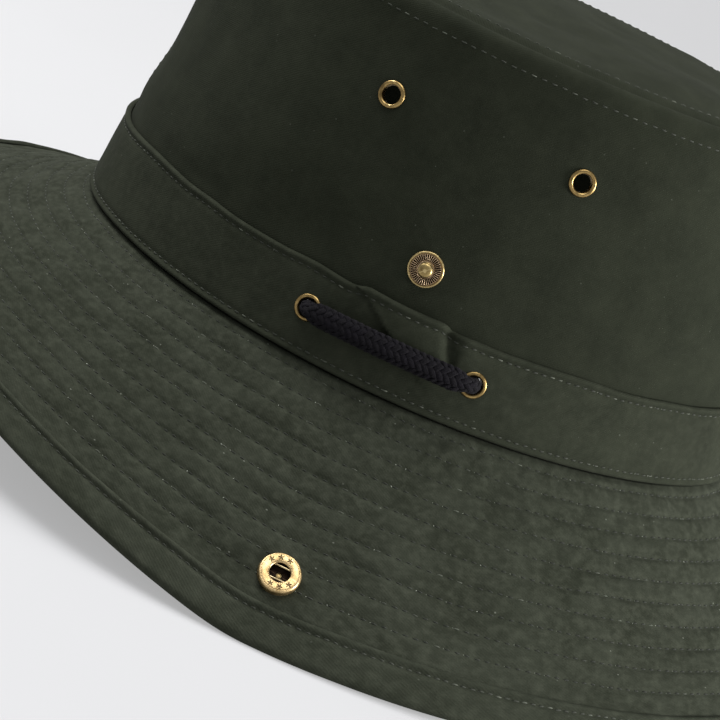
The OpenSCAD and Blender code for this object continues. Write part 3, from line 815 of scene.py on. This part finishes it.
LABEL_H = (5, 19)
label_h = np.linspace(*LABEL_H, 16)
section = [(h, -0.18) for h in label_h]
section += [(h, -0.52 - 0.1 * math.sin((h - 5) / 14 * math.pi)) for h in label_h[::-1]]
piece = sweep("label_cloth", section, label_surface, 3 * QUARTER + np.linspace(-9.4, 9.4, 24))
fit(piece, LABEL, "label_cloth", "size_label")

# ---- Brim ----

row_offsets = np.array([-1.3, -0.8, -0.4, 0.0, 0.4, 0.8, 1.3, 2.2, 3.1])
edge_s = np.linspace(63.5, EDGE_S, 18)
brim_s = np.concatenate([[0.0, 0.6, 1.2], (ROW_S[:, None] + row_offsets).ravel(), edge_s])
brim_s = np.unique(np.round(brim_s, 2))
core_s = np.linspace(0.0, EDGE_S - 0.5, 90)
BRIM_HALF = QUARTER - 0.03
half_ts = np.linspace(-BRIM_HALF, BRIM_HALF, 420)
coarse_ts = np.linspace(-BRIM_HALF, BRIM_HALF, 300)
RIVET_HOLE_R = 1.4


def layer(name, d1, d2, middle, ts, ss):
    """One layer of the brim on one side, with a hole for the socket's rivet."""
    hole = open_holes([(middle, SOCKET_S)], RIVET_HOLE_R, 4.0, 0.6)
    return sweep(name, sheet(ss, d1, d2), brim, middle + ts, cut=hole)


LEG = BINDING_W - FOLD_OUT


def binding_section():
    """The binding as (s, d): its upper leg, the fold, the lower leg, then back along the inside."""
    inner_s = EDGE_S - LEG
    legs = [0.0, 0.25, 0.6, 1.0, 1.45, 1.8, 2.1, 2.4, 2.7, 3.1, 3.6, 4.4, 5.4, 6.5, 7.6, 8.6]
    ridge = [0.35, 0.78, 1.12, 1.28, 1.2, 0.92, 0.58, 0.38, 0.46, 0.66, 0.82, 0.88, 0.86, 0.82]
    ridge += [0.77, 0.72]
    top = [(inner_s + x, y) for x, y in zip(legs, ridge)]
    turn = []
    for a in np.linspace(0.12, math.pi - 0.12, 13):
        turn.append((EDGE_S + FOLD_OUT * math.sin(a), -1 + FOLD_OUT * math.cos(a)))
    under = [(s, -2 - d) for s, d in top[::-1]]
    inside_low = [(s, -2.06) for s in np.linspace(inner_s, EDGE_S, 8)]
    inside_turn = []
    for a in np.linspace(0.2, math.pi - 0.2, 6):
        inside_turn.append((EDGE_S + 1.05 * math.sin(a), -1 - 1.05 * math.cos(a)))
    inside_top = [(s, 0.06) for s in np.linspace(EDGE_S, inner_s, 8)]
    return top + turn + under + inside_low + inside_turn + inside_top


def binding_surface(t, s, d):
    """Bias tape: slight puckers across it, strongest beside its stitching."""
    outside = smooth(np.abs(d + 1), 1.1, 1.5)
    beside = bell(s - 69.2, 2.4)
    pucker = 0.22 * round_noise(t + 0.9 * s, s, 4.6, 8, 61) * (0.3 + beside)
    pucker = pucker + 0.26 * round_noise(t, s, 22, 30, 62)
    sign = np.where(d > -1, 1.0, -0.25)
    ends = 0.12 * round_noise(t, 0 * s, 13, 1, 63)
    return brim(t, s + ends * bell(s - 67, 2), d + sign * pucker * outside, soft=False)


def under_brim(t, s, d):
    return brim(t, s, -2.0 - d)


def under_binding(t, s, d):
    return binding_surface(t, s, -2.0 - d)


BINDING_ROW = EDGE_S - LEG + 2.4
SIDES = (("right", 0.0, 1.0), ("left", ROUND / 2, -1.0))
for side, middle, sign in SIDES:
    made = []
    for name, d1, d2, ts, ss, material, slot, node in (
        ("top", 0.0, -0.6, half_ts, brim_s, BRIM, "brim_cotton", "top_cloth"),
        ("core", -0.72, -1.28, coarse_ts, core_s, CORE, "stiffener", "stiffener"),
        ("under", -1.4, -2.0, half_ts, brim_s, UNDER, "crown_cotton", "under_cloth"),
    ):
        piece = dress(layer(f"brim_{name}_{side}", d1, d2, middle, ts, ss), material)
        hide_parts("brim_" + node, f"flap_{side}_{node}")
        made.append(piece)
    piece = sweep("brim_edge_" + side, binding_section(), binding_surface, middle + half_ts)
    dress(piece, BINDING)
    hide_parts("brim_binding", f"flap_{side}_binding")
    made.append(piece)
    fine = middle + np.linspace(-QUARTER + 1, QUARTER - 1, 2400)
    rows = [stitch_points(brim, fine, s, 0.0, 2.8, 2.0, 0.05) for s in ROW_S]
    made.append(dress(thread("brim_rows_" + side, rows, 0.17), ROW_THREAD))
    made.append(dress(specks("brim_thread_ends_" + side, rows, 0.20, 0.9), LINT))
    rows = [stitch_points(under_brim, fine + 1.4, s, 0.02, 2.8, 2.0) for s in ROW_S]
    for surface in (binding_surface, under_binding):
        rows.append(stitch_points(surface, fine, BINDING_ROW, 0.40, 2.4, 1.8))
    made.append(dress(thread("brim_under_rows_" + side, rows, 0.2), THREAD))
    for piece in made:
        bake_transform(piece)

# ---- Thread on the crown and band ----

fine = np.linspace(0, ROUND, 5000)
rows = [stitch_points(band_surface, fine, h, 3.33, 2.5, 1.8, 0.05) for h in BAND_ROWS]
fit(thread("band_stitches", rows, 0.18), BAND_THREAD, "brim_cotton")
fit(specks("band_thread_ends", rows, 0.10, 0.9), LINT, "brim_cotton")


def seam_side(h, t, d):
    """The crown wall for stitches that climb it beside a seam."""
    return crown_surface(t, h, d)


def sweat_inside(t, h, d):
    return sweat_surface(t, h, 0.02 - d)


def label_inside(t, h, d):
    return label_surface(t, h, -0.55 - d)


rows = [stitch_points(crown_surface, fine, RIM_H - 1.2, CROWN_OUT - 0.03, 2.8, 2.1)]
rows.append(stitch_points(top_surface, fine, 0.055, -0.02, 2.8, 2.1, 0.0))
climb = np.linspace(BAND_H + 1, RIM_H - 3, 400)
for at in (QUARTER, 3 * QUARTER):
    for off in (-3.0, 3.0):
        rows.append(stitch_points(seam_side, climb, at + off, CROWN_OUT + 0.03, 2.8, 2.1))
fit(thread("crown_stitches", rows, 0.16), THREAD, "crown_cotton")

rows = [stitch_points(sweat_inside, fine, SWEAT_ROW, 0.05, 2.8, 2.1)]
label_ts = 3 * QUARTER + np.linspace(-8.4, 8.4, 60)
for h in (LABEL_H[0] + 1.2, LABEL_H[1] - 1.2):
    rows.append(stitch_points(label_inside, label_ts, h, 0.06, 2.0, 1.4))
fit(thread("sweatband_stitches", rows, 0.18), THREAD, "sweatband_cloth")

# ---- Metal fittings ----

BARREL_R, FLANGE_R = 2.45, 3.7


def eyelet_profile(stack):
    """An eyelet through `stack` millimetres of cloth, rolled over behind it."""
    roll = -stack - 0.85
    bead = (FLANGE_R - BARREL_R) / 2
    points = [(3.05, roll + 0.25), (2.9, roll - 0.05), (2.65, roll - 0.15), (2.47, roll + 0.05)]
    points += [(BARREL_R, roll + 0.3), (BARREL_R, -0.1)]
    for a in np.linspace(0, math.pi, 15):
        points.append((BARREL_R + bead - bead * math.cos(a), 0.06 + 0.62 * math.sin(a)))
    return points + [(3.66, 0.02), (3.3, 0.02), (2.75, 0.02), (2.75, roll + 0.3)]


def washer_profile(stack):
    shape = [(2.86, 0), (2.86, 0.36), (2.95, 0.42), (3.85, 0.42), (4.0, 0.3), (4.0, 0), (2.86, 0)]
    return [(r, -stack - 0.1 - depth) for r, depth in shape]


vents = [at_wall(t, VENT_H, CROWN_OUT, m) for m in (False, True) for t in (-VENT_T, VENT_T)]
cords = [at_wall(t, CORD_H, BAND_OUT, m) for m in (False, True) for t in (-CORD_T, CORD_T)]
for name, profile, places, material, slot in (
    ("vent_eyelets", eyelet_profile(CLOTH_T), vents, BRASS, "eyelet_brass"),
    ("vent_washers", washer_profile(CLOTH_T), vents, WASHER, "washer_brass"),
    ("cord_eyelets", eyelet_profile(BAND_OUT), cords, BRASS, "eyelet_brass"),
    ("cord_washers", washer_profile(BAND_OUT), cords, WASHER, "washer_brass"),
):
    fit(lathe(profile, places, name + "_turned"), material, slot, name)

FLUTES, STUD_SIDES, SOCKET_SIDES = 40, 400, 480


def flutes(r, a, z):
    on = smooth(r, 2.15, 2.5) * (1 - smooth(r, 3.85, 4.05))
    wave = 0.5 + 0.5 * np.cos(FLUTES * a)
    return z + on * 0.40 * wave, on * (1 - smooth(wave, 0.15, 0.75))


stud_profile = [
    (0.95, 0.1), (4.4, 0.1), (4.62, 0.14), (4.76, 0.3), (4.8, 0.45), (4.76, 0.62), (4.62, 0.76),
    (4.45, 0.8), (4.3, 0.76), (4.2, 0.62), (4.12, 0.48),
]
stud_profile += [(r, 0.42) for r in np.linspace(4.0, 2.1, 22)]
stud_profile += [
    (1.95, 0.46), (1.7, 0.6), (1.5, 0.85), (1.45, 1.6), (1.47, 2.3), (1.6, 2.5), (1.82, 2.66),
    (1.9, 2.82), (1.9, 3.0), (1.84, 3.18), (1.68, 3.36), (1.42, 3.5), (1.05, 3.6), (0.6, 3.66),
    (0.2, 3.68), (0.001, 3.68),
]
studs = [at_wall(0, STUD_H, CROWN_OUT, m) for m in (False, True)]
piece = lathe(stud_profile, studs, "snap_stud_turned", STUD_SIDES, flutes)
fit(piece, STUD_RIM, "stud_bronze", "snap_studs")
piece.data.materials.append(STUD_DISH)
stud_r = np.array(stud_profile)[:, 0]
middle_r = (stud_r[1:] + stud_r[:-1]) / 2
in_dish = (middle_r > 2.0) & (middle_r < 4.16) & (np.arange(len(middle_r)) > 5)
index = np.tile(np.repeat(in_dish.astype(int), STUD_SIDES), len(studs))
piece.data.polygons.foreach_set("material_index", index)
dress(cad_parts["stud_posts"], WASHER)


def star(x, y, size):
    a = np.arctan2(y, x)
    r = np.hypot(x, y)
    edge = size * (0.66 + 0.34 * np.cos(5 * a))
    return smooth(edge - r, -0.05, 0.08)


def stamping(r, a, z):
    """Dotted rings and two groups of three small stars, pressed into the socket's face."""
    top = z > 2.2
    dots = bell(r - 4.78, 0.11) * smooth(np.cos(72 * a), -0.1, 0.6)
    dots = dots + bell(r - 2.98, 0.10) * smooth(np.cos(40 * a), -0.1, 0.6) * (np.abs(np.sin(a)) < 0.92)
    x, y = r * np.cos(a), r * np.sin(a)
    stars = np.zeros(r.shape)
    for middle in (0.0, math.pi):
        for turn in (-0.62, 0.0, 0.62):
            at = middle + turn + 0.35
            dx, dy = x - 3.9 * math.cos(at), y - 3.9 * math.sin(at)
            u = dx * math.cos(at) + dy * math.sin(at)
            v = dy * math.cos(at) - dx * math.sin(at)
            stars = np.maximum(stars, star(u, v, 0.8))
    mark = np.clip(dots * 0.7 + stars, 0, 1) * top
    return z - 0.09 * mark, mark * 0.9


socket_profile = [
    (0.95, 0.1), (4.6, 0.1), (5.05, 0.16), (5.32, 0.45), (5.46, 0.9), (5.5, 1.3), (5.47, 1.7),
    (5.38, 2.05), (5.22, 2.34),
]
for r in np.linspace(5.05, 2.9, 34):
    socket_profile.append((r, 2.56 + 0.13 * math.sin((5.05 - r) / 2.2 * math.pi)))
face_end = len(socket_profile) + 2
socket_profile += [
    (2.74, 2.46), (2.66, 2.3), (2.65, 2.15), (2.8, 2.08), (4.9, 2.08), (5.02, 1.9), (5.05, 0.5),
    (0.95, 0.42),
]
cap_profile = [
    (0.001, 0.42), (0.7, 0.4), (0.88, 0.25), (0.88, -2.1), (5.6, -2.1), (6.05, -2.2), (6.24, -2.5),
    (6.2, -2.85), (5.9, -3.05), (5.2, -3.12), (3.5, -3.2), (0.001, -3.24),
]
for side, _, sign in SIDES:
    place = [at_brim(SOCKET_S, sign < 0)]
    body = "brim_flap_" + side
    piece = lathe(socket_profile, place, "snap_socket_turned_" + side, SOCKET_SIDES, stamping)
    fit(piece, SOCKET, "socket_brass", "snap_socket_" + side, body=body)
    # The faces inside the socket take the near-black painted shade.
    piece.data.materials.append(SHADE)
    inside = (np.arange(len(socket_profile) - 1) >= face_end).astype(int)
    piece.data.polygons.foreach_set("material_index", np.repeat(inside, SOCKET_SIDES))
    piece = lathe(cap_profile, place, "snap_cap_turned_" + side, 96)
    fit(piece, CAP, "socket_brass", "snap_cap_" + side, body=body)
    dress(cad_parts["snap_spring_" + side], STEEL)

# ---- Chin cord ----

CORD_PHI = CORD_HALF / (SIDE_R - CORD_H * SIN_L)
AXIS_R = (SIDE_R - CORD_H * SIN_L) / COS_L
AXIS_Z = BASE_Z + CORD_H * COS_L - AXIS_R * SIN_L
TILT = math.atan(math.tan(LEAN) / math.cos(CORD_PHI))
CORD_A = math.asin(COS_L * math.sin(CORD_PHI))
RUN_R = AXIS_R + CROWN_OUT + 4.3
ELBOW_R = 3.2
ELBOW_A = math.asin(ELBOW_R / (RUN_R - ELBOW_R))
KNOT_R, KNOT_O = 3.6, -5.6
DROP_O, DROP_BEND, FOOT_BEND, TURN_R, STRAND_HALF, STRAND_Z, LOOP_Y = -5, 4, 5, 10, 2.4, 9, 106
DROP_R = SIDE_R + DROP_O * COS_L - CORD_H * SIN_L - DROP_BEND * (1 - SIN_L)
DROP_X, DROP_Y = SIDE_CX + DROP_R * math.cos(CORD_PHI), DROP_R * math.sin(CORD_PHI)


def in_plane(d, a):
    """A point of the tilted plane that holds the cord's outer run."""
    out = d * math.cos(a)
    return np.array([SIDE_CX + out * math.cos(TILT), d * math.sin(a), AXIS_Z + out * math.sin(TILT)])


def bend(d, a, r, turn):
    """A point at angle `turn` on a circle of radius r about the plane's point (d, a)."""
    return in_plane(d, a) + in_plane(r, turn) - in_plane(0, 0)


def cord_side(z):
    """One side's cord: knot, outer run between the eyelets, drop to the table and turn to the front."""
    n = 10
    run_a, bend_d, quarter = CORD_A - ELBOW_A, RUN_R - ELBOW_R, math.pi / 2
    cp, sp = math.cos(CORD_PHI), math.sin(CORD_PHI)
    down = np.array([SIN_L * cp, SIN_L * sp, -COS_L])
    out = np.array([COS_L * cp, COS_L * sp, SIN_L])
    drop = in_plane(AXIS_R + DROP_O, CORD_A) + DROP_BEND * down
    foot = np.array([DROP_X - FOOT_BEND, DROP_Y, z + FOOT_BEND])
    turn = np.array([TURN_R, DROP_Y + TURN_R, z])
    path = [in_plane(AXIS_R + KNOT_O + KNOT_R * x, -CORD_A) for x in np.linspace(-0.95, 0.8, 10)]
    elbow = run_a + (quarter + ELBOW_A) * np.arange(n + 1) / n
    path += [bend(bend_d, -run_a, ELBOW_R, -a) for a in elbow[::-1]]
    path += [in_plane(RUN_R, run_a * (2 * i / n - 1)) for i in range(1, n)]
    path += [bend(bend_d, run_a, ELBOW_R, a) for a in elbow]
    for a in np.linspace(0, quarter - LEAN, n):
        path.append(drop - DROP_BEND * (math.cos(a) * down + math.sin(a) * out))
    for a in np.linspace(0, quarter, n):
        path.append(foot + FOOT_BEND * np.array([math.cos(a), 0, -math.sin(a)]))
    for a in np.linspace(0, quarter, n):
        path.append(turn + TURN_R * np.array([-math.sin(a), -math.cos(a), 0]))
    return path


def cord_path():
    right, left = cord_side(STRAND_Z - STRAND_HALF), cord_side(STRAND_Z + STRAND_HALF)
    loop = [
        np.array([0, LOOP_Y + STRAND_HALF * math.sin(a), STRAND_Z - STRAND_HALF * math.cos(a)])
        for a in np.linspace(0, math.pi, 11)
    ]
    points = np.array(right + loop + [p * [-1, 1, 1] for p in left[::-1]])
    run = np.concatenate([[0], np.cumsum(np.linalg.norm(np.diff(points, axis=0), axis=1))])
    keep = np.concatenate([[True], np.diff(run) > 1e-6])
    where = np.linspace(0, run[-1], int(run[-1] / 0.55))
    return np.stack([np.interp(where, run[keep], points[keep, k]) for k in range(3)], 1), where


def carried_frames(path):
    """Two directions square to the path that don't twist along it."""
    tangent = unit(np.gradient(path, axis=0))
    first = np.array([-math.sin(TILT), 0, math.cos(TILT)])
    ups = []
    for direction in tangent:
        first = unit(first - (first @ direction) * direction)
        ups.append(first)
    ups = np.array(ups)
    return ups, np.cross(tangent, ups)


def braid():
    """Sixteen strands, eight each way, two over and two under, round a core."""
    path, where = cord_path()
    up, across = carried_frames(path)
    last = where[-1]
    from_end = np.minimum(where, last - where)
    knot = KNOT_R * np.sqrt(np.clip(1 - ((from_end - 0.95 * KNOT_R) / KNOT_R) ** 2, 0, 1)) / 2.2
    knot = np.where(from_end < 1.75 * KNOT_R, np.maximum(knot, 0.2), 1.0)
    # the outer run, between the two eyelets, is a little thicker than the rest
    run_start, run_end = 15.5, 15.5 + 2 * CORD_HALF - 2.0
    thick = smooth(from_end, run_start - 0.8, run_start + 3.2)
    thick = thick * (1 - smooth(from_end, run_end - 2.6, run_end + 1.4))
    tall, deep = knot * (1 + 0.58 * thick), knot * (1 + 0.10 * thick)
    carriers, pitch, mean_r, weave_r = 8, 15.5, 1.58, 0.23
    phase = math.pi * carriers * where / pitch
    strands, normals = [], []
    for way in (1, -1):
        for k in range(carriers):
            a = way * 2 * math.pi * where / pitch + 2 * math.pi * k / carriers
            over = way * np.cos(math.pi * k + way * phase - math.pi / 4)
            r = mean_r + weave_r * np.clip(over * 1.5, -1, 1)
            spoke = np.cos(a)[:, None] * up * tall[:, None] + np.sin(a)[:, None] * across * deep[:, None]
            strands.append(path + r[:, None] * spoke)
            normals.append(spoke)
    strands, normals = np.array(strands), np.array(normals)
    width = np.broadcast_to(0.66 * np.clip(knot, 0.3, 1.5) * (1 + 0.34 * thick), strands.shape[:2])
    height = np.broadcast_to(0.38 * np.clip(knot, 0.3, 1.2), strands.shape[:2])
    outer = tubes("cord_strands", strands, 8, width, height, normals)
    core = tubes("cord_core", path[None], 12, (1.42 * deep)[None], (1.42 * tall)[None], up[None])
    return join_pieces("braided_cord", [outer, core])


fit(braid(), CORD, "cord_braid", "chin_cord")
dress(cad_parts["lock_body"], LOCK)
dress(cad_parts["lock_plunger"], PLUNGER)


def coil():
    """The button's spring."""
    a = np.linspace(0, 8 * math.pi, 161)
    x = np.linspace(-10.6, -5.0, len(a))
    path = np.stack([x, LOOP_Y - 10 + 2.7 * np.cos(a), STRAND_Z + 2.7 * np.sin(a)], 1)
    wire = np.full((1, len(a)), 0.3)
    return tubes("lock_spring_coil", path[None], 10, wire, wire, np.array([[[1.0, 0, 0]]]))


piece = coil()
fit(piece, STEEL, "spring_steel", "lock_spring", body="cord_lock")
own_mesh(piece)

# ---- Studio ----


def backdrop():
    """A pale floor that curves up behind the hat."""
    profile = [(-2.5, 0.0), (1.1, 0.0)]
    for a in np.linspace(0.1, math.pi / 2, 16):
        profile.append((1.1 + 0.7 * math.sin(a), 0.7 - 0.7 * math.cos(a)))
    profile.append((1.8, 4.5))
    points = np.array([[(-x * 1000, y * 7000, z * 1000) for x, z in profile] for y in (-1, 1)])
    return grid("floor", points, np.arange(2.0), np.arange(float(len(profile))))


floor = backdrop()
n = Nodes("floor_paper")
paper = n.mix(n.noise(n.place(), 3.0, 4.0), rgb("828283"), rgb("88888a"))
n.set(Base_Color=paper, Roughness=0.9, Emission_Color=(1, 1, 1, 1), Emission_Strength=0.38)
floor.data.materials.append(n.material)


def lamp(name, place, target, size, power):
    data = bpy.data.lights.new(name, "AREA")
    data.shape, data.size, data.energy = "DISK", size, power
    obj = link(bpy.data.objects.new(name, data))
    obj.location = place
    obj.rotation_mode = "QUATERNION"
    obj.rotation_quaternion = (Vector(target) - Vector(place)).to_track_quat("-Z", "Y")


centre = (0.05, 0, 0.07)
lamp("key", (0.17, 1.2, 0.2), centre, 0.45, 25)
lamp("top", (0.3, 0.0, 1.3), centre, 0.8, 8)
lamp("back", (-0.35, -0.9, 1.15), centre, 0.8, 22)
world = bpy.context.scene.world or bpy.data.worlds.new("studio")
bpy.context.scene.world = world
world.use_nodes = True
sky = world.node_tree.nodes["Background"]
sky.inputs["Color"].default_value = (0.93, 0.95, 1.0, 1)
sky.inputs["Strength"].default_value = 0.5
bpy.context.scene.view_settings.view_transform = "Standard"

# The main camera looks at the hat's right side from a little above, tilted to one side
camera = link(bpy.data.objects.new("camera", bpy.data.cameras.new("camera")))
azimuth, height, roll = (math.radians(a) for a in (2.111, 17.425, 24.579))
level = Vector((-math.sin(azimuth), math.cos(azimuth), 0))
back = Vector((math.cos(azimuth), math.sin(azimuth), math.tan(height))).normalized()
right = level * math.cos(roll) + back.cross(level) * math.sin(roll)
turn = Matrix((right, back.cross(right), back)).transposed()
camera.matrix_world = Matrix.Translation((0.59596, 0.01327, 0.21845)) @ turn.to_4x4()
camera.data.sensor_width = 36
camera.data.lens = 103.7
camera.data.clip_start, camera.data.clip_end = 0.01, 20
bpy.context.scene.camera = camera
